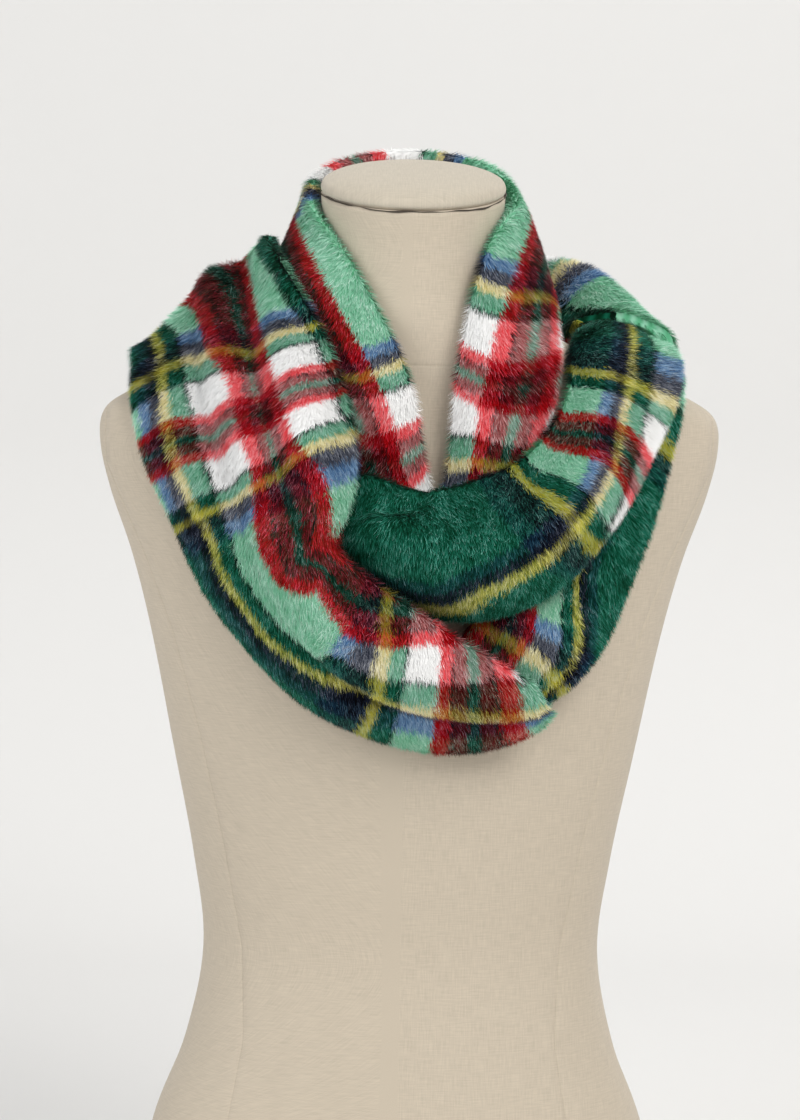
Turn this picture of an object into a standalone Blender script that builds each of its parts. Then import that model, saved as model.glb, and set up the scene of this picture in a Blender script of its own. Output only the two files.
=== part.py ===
"""Plush plaid infinity scarf, wound twice round the neck of a limbless dress form.

Metres, +Z up. The front faces -Y and the origin is the middle of the form's flat bottom.
"""
from collections import namedtuple
from math import cos, pi, radians, sin, tan

import bmesh
import bpy
import numpy as np

MM = 0.001
COLLECTION = "plaid_scarf_on_dress_form"

# Driving sizes of the scarf's cloth, in metres
WALL = 12 * MM  # the flat tube lies double: two plush layers with their pile
REST_GAP = 1.04 * MM  # between the cloth and the form that carries it
LAYER_GAP = 1.5 * MM  # between the walls of two turns that lie on each other
LAYING_STEPS = 3  # rounds of lifting a turn off what lies beneath it
REST_STEPS = 6  # rounds of moving a turn out of the form
LAID_DETAIL = 4  # points a laid turn is read at, for each point of its own grid
END_ROUND = 3  # points on each rounded edge of the wall
END_TAPER = 0.45  # the wall's thickness at a tucked end, as a share

# Driving sizes of the dress form, in metres and degrees
NECK_TILT = 12.0  # the top of the neck slopes down to the front
NECK_START = 0.64  # above this height the level sections start to tilt
CAP_GAP = 0.4 * MM
CAP_RISE = 15 * MM
FORM_RINGS = 33
FORM_SIDES = 36
FORM_SAMPLES = 400  # levels at which the form is read when cloth is laid on it

# The form in level sections, in mm: how wide, how deep before and behind the side line
FormSection = namedtuple("FormSection", "height half_width front back squareness")
FORM = (
    FormSection(0, 168, 106, 112, 2.4),
    FormSection(45, 174, 110, 118, 2.4),  # hips
    FormSection(126, 157, 101, 106, 2.4),
    FormSection(180, 137, 92, 90, 2.3),
    FormSection(240, 126, 86, 80, 2.3),  # waist
    FormSection(300, 133, 92, 82, 2.3),
    FormSection(366, 146, 100, 90, 2.3),
    FormSection(440, 161, 103, 97, 2.3),  # chest
    FormSection(490, 174, 97, 99, 2.3),
    FormSection(530, 188, 87, 96, 2.4),
    FormSection(560, 195, 78, 91, 2.5),
    FormSection(580, 193, 70, 85, 2.5),  # shoulder ends
    FormSection(592, 178, 65, 80, 2.4),
    FormSection(604, 150, 61, 76, 2.3),
    FormSection(622, 108, 57, 71, 2.2),
    FormSection(640, 78, 55, 67, 2.1),
    FormSection(662, 62, 53, 63, 2.0),
    FormSection(690, 57, 53, 61, 2.0),
    FormSection(719, 58, 56, 62, 2.0),  # neck
)

# The neck cap from its rim to its crown: share of the neck's size and of the cap's rise
CapRing = namedtuple("CapRing", "size rise")
CAP = (
    CapRing(0.965, 0.0),
    CapRing(1.0, 0.14),
    CapRing(1.0, 0.34),
    CapRing(0.96, 0.56),
    CapRing(0.82, 0.78),
    CapRing(0.58, 0.92),
    CapRing(0.30, 0.985),
)

# A stretch of scarf in sections, in mm: its edge at the neck, its crest and its free edge
Section = namedtuple("Section", "inner crest outer")
# A lengthwise fold: where it starts and ends across the cloth, where along the stretch
# it begins and ends, all as shares, and how high and how wide it stands, in mm and shares
Fold = namedtuple("Fold", "across_start across_end begin end height width")

COLLAR = (
    Section((-4, 84, 746), (0, 99, 722), (0, 97, 676)),
    Section((43, 70, 740), (56, 86, 712), (62, 88, 662)),
    Section((63, 34, 722), (75, 36, 698), (86, 38, 652)),
    Section((54, -26, 702), (72, -22, 682), (86, -18, 654)),
    Section((44, -50, 671), (65, -62, 645), (88, -45, 627)),
    Section((35, -66, 632), (59, -85, 611), (86, -70, 595)),
    Section((30, -80, 593), (51, -98, 573), (74, -90, 557)),
    Section((28, -93, 552), (43, -106, 535), (58, -104, 522)),
    Section((17, -98, 522), (18, -109, 503), (18, -108, 484)),
    Section((6, -93, 554), (-9, -106, 536), (-24, -102, 524)),
    Section((0, -82, 596), (-20, -98, 578), (-39, -90, 568)),
    Section((-14, -68, 629), (-35, -84, 609), (-54, -74, 601)),
    Section((-31, -54, 659), (-52, -66, 641), (-68, -56, 633)),
    Section((-47, -36, 689), (-66, -40, 673), (-79, -32, 664)),
    Section((-61, 0, 714), (-73, 0, 696), (-82, 4, 679)),
    Section((-64, 34, 727), (-73, 38, 694), (-84, 42, 652)),
    Section((-41, 68, 740), (-54, 86, 712), (-60, 88, 664)),
)

BACK_TURN = (
    Section((-100, 12, 640), (-128, 12, 628), (-160, 8, 600)),
    Section((-90, 48, 672), (-130, 54, 656), (-166, 44, 592)),
    Section((-66, 92, 684), (-108, 112, 656), (-130, 98, 564)),
    Section((-34, 112, 684), (-60, 146, 646), (-68, 116, 540)),
    Section((0, 118, 682), (0, 154, 642), (0, 120, 534)),
    Section((42, 112, 684), (68, 140, 656), (76, 116, 546)),
    Section((86, 72, 646), (111, 86, 674), (134, 104, 594)),
    Section((100, 44, 634), (139, 54, 655), (160, 68, 592)),
    Section((112, 18, 632), (150, 20, 630), (164, 22, 604)),
)

LEFT_SWATH = (
    Section((80, -136, 423), (86, -134, 416), (90, -126, 411)),
    Section((56, -144, 436), (62, -143, 414), (66, -117, 393)),
    Section((28, -150, 452), (27, -152, 418), (22, -115, 385)),
    Section((1, -152, 471), (-8, -156, 428), (-27, -113, 396)),
    Section((-26, -151, 488), (-40, -160, 447), (-66, -108, 417)),
    Section((-46, -150, 507), (-62, -160, 471), (-95, -102, 446)),
    Section((-38, -147, 531), (-75, -160, 503), (-116, -96, 472)),
    Section((-34, -138, 563), (-84, -151, 534), (-132, -86, 500)),
    Section((-41, -120, 593), (-92, -134, 564), (-145, -74, 528)),
    Section((-53, -90, 625), (-102, -104, 592), (-160, -62, 555)),
    Section((-66, -50, 655), (-110, -62, 622), (-165, -50, 580)),
    Section((-74, -10, 676), (-115, -14, 650), (-168, -8, 602)),
    Section((-80, 24, 686), (-122, 34, 671), (-168, 26, 608)),
)

RIGHT_OVER = (
    Section((112, 36, 624), (130, 38, 622), (148, 36, 612)),
    Section((108, -10, 634), (130, -9, 639), (159, -4, 622)),
    Section((100, -48, 617), (128, -62, 614), (160, -47, 598)),
    Section((90, -76, 586), (119, -98, 580), (144, -84, 566)),
    Section((79, -96, 566), (107, -124, 550), (132, -103, 540)),
    Section((61, -110, 551), (86, -144, 526), (114, -121, 515)),
    Section((37, -120, 542), (61, -156, 509), (91, -130, 489)),
    Section((16, -126, 537), (32, -160, 503), (57, -133, 471)),
    Section((-5, -126, 539), (5, -156, 507), (18, -128, 469)),
    Section((-24, -124, 547), (-22, -142, 515), (-15, -124, 480)),
    Section((-42, -116, 542), (-43, -126, 519), (-41, -118, 497)),
)

RIGHT_UNDER = (
    Section((130, 38, 606), (148, 38, 600), (163, 34, 586)),
    Section((130, 0, 612), (146, -2, 607), (161, -6, 598)),
    Section((130, -52, 580), (144, -58, 576), (156, -54, 568)),
    Section((110, -84, 536), (130, -86, 536), (150, -72, 531)),
    Section((83, -102, 498), (112, -108, 492), (132, -90, 485)),
    Section((57, -112, 474), (93, -122, 463), (119, -100, 452)),
    Section((39, -113, 455), (74, -124, 438), (99, -107, 426)),
    Section((33, -112, 436), (56, -118, 419), (75, -110, 411)),
)

LEFT_FOLDS = (
    Fold(0.76, 0.70, 0.05, 0.90, -14, 0.08),  # groove inside the outer roll
    Fold(0.74, 0.72, 0.66, 1.20, -7, 0.08),  # the same groove, deeper over the shoulder
    Fold(0.40, 0.36, 0.54, 1.10, -8, 0.08),  # middle valley
    Fold(0.18, 0.22, 0.45, 1.00, 6, 0.11),  # inner ridge
    Fold(0.57, 0.57, 0.74, 1.25, 7, 0.09),  # ridge over the shoulder
    Fold(0.05, 0.58, 0.40, 0.64, -13, 0.13),  # crease that runs into the pinch
)
OVER_FOLDS = (Fold(0.20, 0.16, 0.62, 1.0, -5, 0.07),)
UNDER_FOLDS = (Fold(0.40, 0.35, 0.30, 1.0, -5, 0.15),)
BACK_FOLDS = (
    Fold(0.62, 0.58, 0.15, 0.85, -8, 0.08),
    Fold(0.80, 0.82, 0.20, 0.80, 6, 0.08),
)


def clear_scene():
    for thing in list(bpy.data.objects):
        bpy.data.objects.remove(thing, do_unlink=True)


def make_material(name, colour, roughness):
    material = bpy.data.materials.new(name)
    material.use_nodes = True
    shader = material.node_tree.nodes["Principled BSDF"]
    shader.inputs["Base Color"].default_value = (*colour, 1.0)
    shader.inputs["Roughness"].default_value = roughness
    shader.inputs["Metallic"].default_value = 0.0
    return material


def spline(rows, places, closed=False):
    """Catmull-Rom curve through rows, read at places counted in rows."""
    rows = np.asarray(rows, dtype=float)
    count = len(rows)
    places = np.asarray(places, dtype=float)
    if closed:
        first = np.floor(places).astype(int)
        picks = [(first + shift) % count for shift in (-1, 0, 1, 2)]
    else:
        rows = np.concatenate([[2 * rows[0] - rows[1]], rows, [2 * rows[-1] - rows[-2]]])
        first = np.clip(np.floor(places).astype(int), 0, count - 2)
        picks = [first + shift for shift in (0, 1, 2, 3)]
    before, start, end, after = (rows[pick] for pick in picks)
    t = (places - first).reshape(-1, *([1] * (rows.ndim - 1)))
    return 0.5 * (
        2 * start
        + (end - before) * t
        + (2 * before - 5 * start + 4 * end - after) * t**2
        + (3 * start - before - 3 * end + after) * t**3
    )


def form_rows(places):
    rows = spline([tuple(row) for row in FORM], places)
    rows[:, :4] *= MM
    return rows


FORM_TABLE = form_rows(np.linspace(0, len(FORM) - 1, FORM_SAMPLES))


def form_depth(points):
    """How far outside the form each point lies, to first order, and the way out."""

    def reach(p):
        height = np.clip(p[:, 2], FORM_TABLE[0, 0], FORM_TABLE[-1, 0])
        width, front, back, power = (
            np.interp(height, FORM_TABLE[:, 0], FORM_TABLE[:, column]) for column in (1, 2, 3, 4)
        )
        deep = np.where(p[:, 1] < 0, front, back)
        return ((np.abs(p[:, 0]) / width) ** power + (np.abs(p[:, 1]) / deep) ** power) ** (1 / power)

    step = 0.2 * MM
    here = reach(points)
    slope = np.stack([(reach(points + step * axis) - here) / step for axis in np.eye(3)], axis=1)
    steep = np.linalg.norm(slope, axis=1, keepdims=True)
    return (here - 1)[:, None] / steep, slope / steep


def lay_on_form(surface):
    """Move a band's middle surface out of the form, until its wall just clears it."""
    points = surface.reshape(-1, 3).copy()
    for _ in range(REST_STEPS):
        depth, out = form_depth(points)
        points += out * np.clip(WALL / 2 + REST_GAP - depth, 0, None)
    return points.reshape(surface.shape)


def lay_over(surface, below):
    """Lift a band's middle surface off the bands beneath, a wall's thickness from theirs."""
    points = surface.reshape(-1, 3).copy()
    spacing = WALL + LAYER_GAP
    for lower in below:
        normals = surface_normals(lower, False)[0].reshape(-1, 3)
        bed = lower.reshape(-1, 3)
        for _ in range(LAYING_STEPS):
            away = points[:, None] - bed[None]
            nearest = np.argmin((away**2).sum(axis=2), axis=1)
            away = points - bed[nearest]
            height = (away * normals[nearest]).sum(axis=1)
            beside = np.linalg.norm(away - height[:, None] * normals[nearest], axis=1)
            needed = np.sqrt(np.clip(spacing**2 - beside**2, 0, None))
            lift = np.clip(needed - height, 0, spacing)
            lift[(beside > spacing) | (height < -2 * spacing)] = 0
            points += normals[nearest] * lift[:, None]
    return points.reshape(surface.shape)


def soften(surface, closed, rounds):
    """Even out a grid, so that no bend is tighter than the wall is thick."""
    for _ in range(rounds):
        before, after = np.roll(surface, 1, axis=0), np.roll(surface, -1, axis=0)
        if not closed:
            before[0], after[-1] = surface[0], surface[-1]
        even = (before + after + 2 * surface) / 4
        even[:, 1:-1] = (even[:, :-2] + even[:, 2:] + 2 * even[:, 1:-1]) / 4
        surface = even
    return surface


def fold_relief(folds, along, across):
    """Height of the lengthwise folds over a grid, soft ridges and troughs that fade at their ends."""
    s, t = np.meshgrid(along, across, indexing="ij")
    relief = np.zeros_like(s)
    for fold in folds:
        share = np.clip((s - fold.begin) / (fold.end - fold.begin), 0, 1)
        centre = fold.across_start + (fold.across_end - fold.across_start) * share
        relief += fold.height * MM * np.sin(pi * share) ** 0.5 * np.exp(-(((t - centre) / fold.width) ** 2))
    return relief


def surface_normals(surface, closed):
    if closed:
        along = np.roll(surface, -1, axis=0) - np.roll(surface, 1, axis=0)
    else:
        along = np.gradient(surface, axis=0)
    across = np.gradient(surface, axis=1)
    normals = np.cross(along, across)
    return normals / np.linalg.norm(normals, axis=2, keepdims=True), along, across


def band_surface(sections, folds, n_along, n_across, closed, below):
    """Middle surface of a stretch: each section is a bow from edge over crest to edge."""
    rows = np.array([[row.inner, row.crest, row.outer] for row in sections], dtype=float) * MM
    if closed:
        along = np.arange(n_along) / n_along
        rows = spline(rows, along * len(sections), closed=True)
    else:
        along = np.linspace(0, 1, n_along)
        rows = spline(rows, along * (len(sections) - 1))
    across = np.linspace(0, 1, n_across)
    t = across[None, :, None]
    inner, crest, outer = (rows[:, None, column] for column in range(3))
    surface = (1 - t) * (1 - 2 * t) * inner + 4 * t * (1 - t) * crest + t * (2 * t - 1) * outer
    normals, _, _ = surface_normals(surface, closed)
    surface = surface + normals * fold_relief(folds, along, across)[:, :, None]
    for _ in range(2):
        surface = lay_on_form(lay_over(surface, below))
        surface = soften(surface, closed, 1)
    return lay_on_form(lay_over(surface, below))


def band_mesh(name, surface, closed):
    """Closed wall of even thickness round a middle surface, with rounded edges."""
    normals, _, across = surface_normals(surface, closed)
    count = len(surface)
    half = np.full((count, 1), WALL / 2)
    if not closed:
        half[[0, -1]] *= END_TAPER
    outside = surface + normals * half[:, :, None]
    inside = surface - normals * half[:, :, None]
    edge_way = across / np.linalg.norm(across, axis=2, keepdims=True)
    angles = [pi * (step + 1) / (END_ROUND + 1) for step in range(END_ROUND)]
    far = [surface[:, -1] + half * (cos(a) * normals[:, -1] + sin(a) * edge_way[:, -1]) for a in angles]
    near = [surface[:, 0] - half * (cos(a) * normals[:, 0] + sin(a) * edge_way[:, 0]) for a in angles]
    ring = np.concatenate(
        [outside, np.stack(far, axis=1), inside[:, ::-1], np.stack(near, axis=1)], axis=1
    )
    size = ring.shape[1]
    width = surface.shape[1]
    faces = []
    for i in range(count if closed else count - 1):
        for j in range(size):
            k = (j + 1) % size
            n = (i + 1) % count
            faces.append((i * size + j, i * size + k, n * size + k, n * size + j))
    if not closed:
        for base, flip in ((0, 1), ((count - 1) * size, -1)):
            lower = 2 * width + END_ROUND - 1
            caps = [(j, lower - j, lower - j - 1, j + 1) for j in range(width - 1)]
            caps.append(tuple(range(width - 1, width + END_ROUND + 1)))
            caps.append((*range(lower, size), 0))
            faces += [tuple(base + v for v in cap)[::flip] for cap in caps]
    return make_mesh(name, ring.reshape(-1, 3), faces)


def make_mesh(name, points, faces):
    mesh = bpy.data.meshes.new(name)
    mesh.from_pydata([tuple(point) for point in points], [], faces)
    work = bmesh.new()
    work.from_mesh(mesh)
    bmesh.ops.recalc_face_normals(work, faces=work.faces)
    bmesh.ops.triangulate(work, faces=[face for face in work.faces if len(face.verts) < 12])
    work.to_mesh(mesh)
    work.free()
    mesh.shade_smooth()
    mesh.set_sharp_from_angle(angle=radians(50))
    return mesh


def add_part(mesh, collection, material):
    part = bpy.data.objects.new(mesh.name, mesh)
    part.data.materials.append(material)
    collection.objects.link(part)
    return part


def outline(half_width, front, back, squareness):
    """Rounded outline of a level section, as x and y."""
    angle = 2 * pi * np.arange(FORM_SIDES) / FORM_SIDES
    c, s = np.cos(angle), np.sin(angle)
    x = half_width * np.sign(c) * np.abs(c) ** (2 / squareness)
    y = np.where(s < 0, front, back) * np.sign(s) * np.abs(s) ** (2 / squareness)
    return x, y


def loft_rings(name, rings):
    """Closed solid through level rings, with flat ends."""
    size = len(rings[0])
    faces = [
        (i * size + j, i * size + (j + 1) % size, (i + 1) * size + (j + 1) % size, (i + 1) * size + j)
        for i in range(len(rings) - 1)
        for j in range(size)
    ]
    faces.append(tuple(reversed(range(size))))
    faces.append(tuple(range((len(rings) - 1) * size, len(rings) * size)))
    return make_mesh(name, np.concatenate(rings), faces)


def form_body():
    rows = form_rows(np.linspace(0, len(FORM) - 1, FORM_RINGS))
    rings = []
    for height, half_width, front, back, squareness in rows:
        x, y = outline(half_width, front, back, squareness)
        share = np.clip((height - NECK_START) / (rows[-1, 0] - NECK_START), 0, 1)
        rings.append(np.stack([x, y, height + tan(radians(NECK_TILT)) * share * y], axis=1))
    return loft_rings("form_body", rings)


def form_cap():
    neck = form_rows([len(FORM) - 1])[0]
    rings = []
    for ring in CAP:
        x, y = outline(*(neck[1:4] * ring.size), neck[4])
        base = neck[0] + CAP_GAP + CAP_RISE * ring.rise
        rings.append(np.stack([x, y, base + tan(radians(NECK_TILT)) * y], axis=1))
    return loft_rings("form_neck_cap", rings)


def build():
    clear_scene()
    collection = bpy.data.collections.new(COLLECTION)
    bpy.context.scene.collection.children.link(collection)
    linen = make_material("beige_linen", (0.62, 0.53, 0.42), 0.85)
    add_part(form_body(), collection, linen)
    add_part(form_cap(), collection, make_material("beige_linen_cap", (0.64, 0.55, 0.44), 0.85))
    green, red = (0.03, 0.26, 0.14), (0.50, 0.04, 0.05)
    stretches = (
        ("scarf_collar_turn", COLLAR, (), 44, 9, True, (), (0.20, 0.42, 0.30)),
        ("scarf_right_under", RIGHT_UNDER, UNDER_FOLDS, 20, 10, False, (), green),
        ("scarf_right_over", RIGHT_OVER, OVER_FOLDS, 30, 14, False, (0, 1), green),
        ("scarf_back_turn", BACK_TURN, BACK_FOLDS, 26, 16, False, (0, 1, 2), green),
        ("scarf_left_swath", LEFT_SWATH, LEFT_FOLDS, 36, 22, False, (0, 1, 2, 3), red),
    )
    laid = []
    for name, sections, folds, n_along, n_across, closed, below, colour in stretches:
        surface = band_surface(sections, folds, n_along, n_across, closed, [laid[i] for i in below])
        across = np.linspace(0, n_across - 1, LAID_DETAIL * n_across)
        fine = np.stack([spline(row, across) for row in surface])
        bed = np.concatenate([fine, fine[:1]]) if closed else fine
        laid.append(spline(bed, np.linspace(0, len(bed) - 1, LAID_DETAIL * n_along)))
        add_part(band_mesh(name, surface, closed), collection, make_material(name + "_plush", colour, 0.9))


build()
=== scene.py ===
from math import cos, pi, radians, sin, tan

import bpy
import numpy as np
from mathutils import Matrix, Vector


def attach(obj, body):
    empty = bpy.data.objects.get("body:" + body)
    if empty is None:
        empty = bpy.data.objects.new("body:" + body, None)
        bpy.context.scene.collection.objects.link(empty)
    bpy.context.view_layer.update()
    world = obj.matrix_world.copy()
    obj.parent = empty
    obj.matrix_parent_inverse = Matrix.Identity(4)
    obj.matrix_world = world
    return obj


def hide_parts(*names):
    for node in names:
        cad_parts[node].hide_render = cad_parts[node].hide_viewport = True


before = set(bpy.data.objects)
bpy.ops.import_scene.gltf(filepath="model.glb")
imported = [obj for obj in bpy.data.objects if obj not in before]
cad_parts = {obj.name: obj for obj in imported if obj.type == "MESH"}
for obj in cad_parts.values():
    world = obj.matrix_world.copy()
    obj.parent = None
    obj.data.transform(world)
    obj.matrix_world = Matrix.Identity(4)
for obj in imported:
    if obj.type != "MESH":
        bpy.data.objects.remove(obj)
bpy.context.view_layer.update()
mm = 0.001


# Camera and light

view = dict(
    distance=2.2,  # from the form's axis
    elevation=5.0,  # degrees
    roll=1.0,
    lookHeight=0.4877,  # level of the picture's middle on the form's axis
    pixel=0.000635,  # metres a pixel shows at the form's axis
    imageWidth=800,
    middlePixel=407,  # where the form's axis stands in the picture
    sensor=36.0,
    clipEnd=20,
)


# The camera looks down at the form by the elevation, and is rolled a little.
def makeCamera():
    tilt, roll = radians(view["elevation"]), radians(view["roll"])
    ahead = Vector((0, cos(tilt), -sin(tilt)))
    up = Vector((0, sin(tilt), cos(tilt)))
    right = ahead.cross(up)
    rolledUp = up * cos(roll) - right * sin(roll)
    rolledRight = right * cos(roll) + up * sin(roll)
    camera = bpy.data.objects.new("camera", bpy.data.cameras.new("camera"))
    bpy.context.scene.collection.objects.link(camera)
    place = Matrix((rolledRight, rolledUp, -ahead)).transposed().to_4x4()
    place.translation = Vector((0, 0, view["lookHeight"])) - ahead * view["distance"]
    camera.matrix_world = place
    camera.data.sensor_fit = "HORIZONTAL"
    camera.data.sensor_width = view["sensor"]
    shownWidth = view["imageWidth"] * view["pixel"]
    camera.data.lens = view["sensor"] * view["distance"] / shownWidth
    camera.data.shift_x = 0.5 - view["middlePixel"] / view["imageWidth"]
    camera.data.clip_end = view["clipEnd"]
    bpy.context.scene.camera = camera


studio = dict(
    worldStrength=0.62,
    worldColour=(1.0, 0.995, 0.985),
    keyLight=dict(place=(1.3, -2.0, 2.3), size=1.6, energy=53, colour=(1.0, 0.985, 0.96)),
    fillLight=dict(place=(-1.9, -1.6, 1.3), size=1.8, energy=23, colour=(0.96, 0.98, 1.0)),
    backLight=dict(place=(0.6, 1.6, 2.2), size=1.2, energy=26, colour=(1.0, 1.0, 1.0)),
    aim=(0, 0, 0.55),
)


# An even pale world and three round soft lights that face the scarf.
def makeStudio():
    world = bpy.data.worlds.new("studioWorld")
    bpy.context.scene.world = world
    world.use_nodes = True
    background = world.node_tree.nodes["Background"]
    background.inputs["Color"].default_value = (*studio["worldColour"], 1)
    background.inputs["Strength"].default_value = studio["worldStrength"]
    for name in ("keyLight", "fillLight", "backLight"):
        one = studio[name]
        lamp = bpy.data.lights.new(name, "AREA")
        lamp.shape = "DISK"
        lamp.size = one["size"]
        lamp.energy = one["energy"]
        lamp.color = one["colour"]
        lampObject = bpy.data.objects.new(name, lamp)
        lampObject.location = one["place"]
        towards = Vector(studio["aim"]) - Vector(one["place"])
        lampObject.rotation_euler = towards.to_track_quat("-Z", "Y").to_euler()
        bpy.context.scene.collection.objects.link(lampObject)
    bpy.context.scene.view_settings.view_transform = "Standard"
    bpy.context.scene.view_settings.look = "None"


makeCamera()
makeStudio()
print("camera and light done")


# Meshes from whole arrays

# A mesh object from an array of points and one or more arrays of faces.
def meshObject(name, points, faces, material, smooth=True):
    mesh = bpy.data.meshes.new(name)
    parts = [np.asarray(part) for part in (faces if isinstance(faces, list) else [faces])]
    loops = np.concatenate([part.ravel() for part in parts])
    sizes = np.concatenate([np.full(len(part), part.shape[1]) for part in parts])
    starts = np.concatenate([[0], np.cumsum(sizes)[:-1]])
    mesh.vertices.add(len(points))
    mesh.vertices.foreach_set("co", np.asarray(points, dtype=np.float32).ravel())
    mesh.loops.add(len(loops))
    mesh.loops.foreach_set("vertex_index", loops.astype(np.int32))
    mesh.polygons.add(len(sizes))
    mesh.polygons.foreach_set("loop_start", starts.astype(np.int32))
    mesh.polygons.foreach_set("use_smooth", np.full(len(sizes), smooth))
    mesh.update(calc_edges=True)
    mesh.materials.append(material)
    thing = bpy.data.objects.new(name, mesh)
    bpy.context.scene.collection.objects.link(thing)
    return thing


# A UV map from one place a vertex. In a closed ring of rows of this size, the faces that lead back
# to the first row get the wrap added to their far corners.
def cornerMap(thing, name, places, faces, wrap=0, size=0):
    loops = np.concatenate([np.asarray(part).ravel() for part in faces])
    corners = np.asarray(places, dtype=np.float32)[loops]
    if wrap:
        corners[-4 * size:].reshape(size, 4, 2)[:, 2:, 0] += wrap
    layer = thing.data.uv_layers.new(name=name)
    layer.data.foreach_set("uv", corners.ravel())


# A number for each vertex, which the plush material reads as its tone: random changes, painted
# shade at the roots and on the cloth beneath, painted light at the tips.
def pointToneAndShade(thing, toneAndShade):
    layer = thing.data.attributes.new("toneAndShade", "FLOAT", "POINT")
    layer.data.foreach_set("value", np.asarray(toneAndShade, dtype=np.float32))


# Catmull-Rom curve: each place, counted in rows, blends the four rows around it with the cubic that
# passes through the inner two.
def splineRows(rows, places, closed=False):
    rows = np.asarray(rows, dtype=float)
    count = len(rows)
    places = np.asarray(places, dtype=float)
    if closed:
        first = np.floor(places).astype(int)
        picks = [(first + shift) % count for shift in (-1, 0, 1, 2)]
    else:
        rows = np.concatenate([[2 * rows[0] - rows[1]], rows, [2 * rows[-1] - rows[-2]]])
        first = np.clip(np.floor(places).astype(int), 0, count - 2)
        picks = [first + shift for shift in (0, 1, 2, 3)]
    before, start, end, after = (rows[pick] for pick in picks)
    t = (places - first).reshape(-1, *([1] * (rows.ndim - 1)))
    return 0.5 * (
        2 * start
        + (end - before) * t
        + (2 * before - 5 * start + 4 * end - after) * t**2
        + (3 * start - before - 3 * end + after) * t**3
    )


# The dress form

form = dict(
    # level sections in mm: height, half width, depth before and behind, squareness
    sections=[
        (0, 168, 106, 112, 2.4),
        (45, 174, 110, 118, 2.4),
        (126, 157, 101, 106, 2.4),
        (180, 137, 92, 90, 2.3),
        (240, 126, 86, 80, 2.3),
        (300, 133, 92, 82, 2.3),
        (366, 146, 100, 90, 2.3),
        (440, 161, 103, 97, 2.3),
        (490, 174, 97, 99, 2.3),
        (530, 188, 87, 96, 2.4),
        (560, 195, 78, 91, 2.5),
        (580, 193, 70, 85, 2.5),
        (592, 178, 65, 80, 2.4),
        (604, 150, 61, 76, 2.3),
        (622, 108, 57, 71, 2.2),
        (640, 78, 55, 67, 2.1),
        (662, 62, 53, 63, 2.0),
        (690, 57, 53, 61, 2.0),
        (719, 58, 56, 62, 2.0),
    ],
    neckTilt=12.0,
    neckStart=0.64,
    samples=400,
    rows=150,
    columns=14,  # between two seams or lines of the side and the middle
    # the front and back seams: height and how far out they run, in mm
    frontSeam=[
        (0, 122), (135, 107), (192, 97), (250, 99), (320, 112), (385, 127), (445, 144), (492, 163),
        (550, 190),
    ],
    backSeam=[(0, 110), (135, 98), (240, 78), (366, 92), (490, 112), (550, 118), (592, 96)],
    seamsEnd=0.585,  # the height at which the upright seams stop
    seamReach=0.985,  # a seam runs no farther out than this share of the half width
    neckSeam=0.613,
    neckSeamSoft=0.6,  # its bell, in half widths
    seamDepth=0.55 * mm,
    seamHalfWidth=0.9 * mm,
    # points over a seam, in half widths, and the share of the depth at each
    seamStations=(-1.6, -0.8, 0, 0.8, 1.6),
    seamProfile=(0.0, 0.35, 1.0, 0.35, 0.0),
    linenColour=(0.500, 0.434, 0.345),
)
cap = dict(
    # from the rim to the crown: share of the neck's size, share of the rise
    rings=[
        (0.965, 0.0), (1.0, 0.14), (1.0, 0.34), (0.96, 0.56), (0.82, 0.78), (0.58, 0.92),
        (0.30, 0.985),
    ],
    gap=0.4 * mm,
    rise=15 * mm,
    crown=0.15 * mm,  # how far the middle stands over the last ring
    rows=36,
    columns=120,
    linenColour=(0.475, 0.425, 0.345),
)


# Rows of the section table at these places, splined, in metres.
def formRows(places):
    rows = splineRows(form["sections"], places)
    rows[:, :4] *= mm
    return rows


formTable = formRows(np.linspace(0, len(form["sections"]) - 1, form["samples"]))


# How far outside the form a point lies: its superellipse reach less one, over the length of that
# reach's slope. Also gives the way out.
def formDepth(points):
    def reach(p):
        height = np.clip(p[:, 2], formTable[0, 0], formTable[-1, 0])
        width, front, back, power = (
            np.interp(height, formTable[:, 0], formTable[:, column]) for column in (1, 2, 3, 4)
        )
        deep = np.where(p[:, 1] < 0, front, back)
        x, y = np.abs(p[:, 0]) / width, np.abs(p[:, 1]) / deep
        return (x**power + y**power) ** (1 / power)

    step = 0.2 * mm
    here = reach(points)
    slope = np.stack([(reach(points + step * axis) - here) / step for axis in np.eye(3)], axis=1)
    steep = np.linalg.norm(slope, axis=1, keepdims=True)
    return (here - 1)[:, None] / steep, slope / steep


# The scarf, one dictionary for each stretch that shows. Inner, crest and outer are places in mm
# along the stretch: on its edge by the neck, on its ridge and on its other edge. Over names the
# stretches beneath it by their order. A fold is where across it starts and ends, where along it
# begins and ends, all as shares, its height in mm and its width as a share, and a crease is the
# same on the finer surface. A plaid row is a share along the stretch, and which mm along the cloth
# and across it lie there, at even stations from edge to edge.

wall = dict(
    thickness=12 * mm,  # the flat tube with its pile
    restGap=1.04 * mm,  # from the form
    layerGap=1.5 * mm,  # between two stretches
    layingSteps=3,
    restSteps=6,
    laidDetail=4,
    endTaper=0.45,  # the cloth's share of its thickness at an open end
    endRows=4,  # rows over which it thins
    clothOut=3.2 * mm,  # the cloth's outer face, measured from the tube's middle
    clothIn=3.4 * mm,
    edgeSteps=5,
    fullPile=0.12,  # this near its edges, as a share, the hidden face has its whole pile
    cell=3.2 * mm,
)
repeat = 0.229  # the plaid comes back after this length, both ways

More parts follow.
